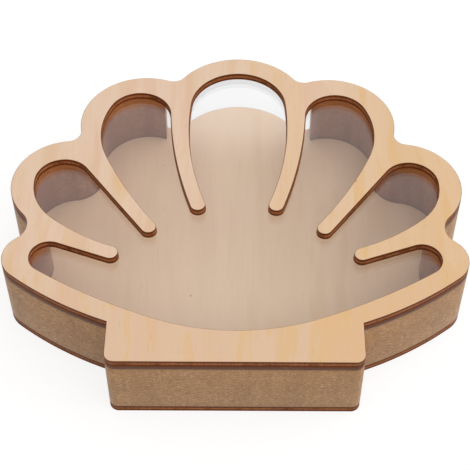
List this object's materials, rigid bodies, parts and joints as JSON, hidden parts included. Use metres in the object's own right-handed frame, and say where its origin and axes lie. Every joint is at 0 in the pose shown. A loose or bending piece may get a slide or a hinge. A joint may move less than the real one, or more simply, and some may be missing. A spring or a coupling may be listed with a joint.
{
  "type": "seashell display case",
  "caption": "Flat shell-shaped display box with a clear window behind a cut-out frame and a loading slot through the wall at the top lobe.",
  "frame": {"origin": "middle of the outline's bounding box, on the back face", "axes": "+X across the shell, to the right as seen from the front; +Y from the foot to the top lobe; +Z from the back face out through the window"},
  "size_m": [0.18, 0.158, 0.033],
  "materials": {
    "frame_plywood": "bare pale plywood with scorched cut edges",
    "clear_acrylic": "clear, polished",
    "fibreboard": "bare cut edge, brown",
    "back_plywood": "bare pale plywood with scorched cut edges"
  },
  "bodies": {
    "root": {"front_frame": "frame_plywood", "window_pane": "clear_acrylic", "wall_ring": "fibreboard", "back_plate": "back_plywood"}
  },
  "joints": []
}
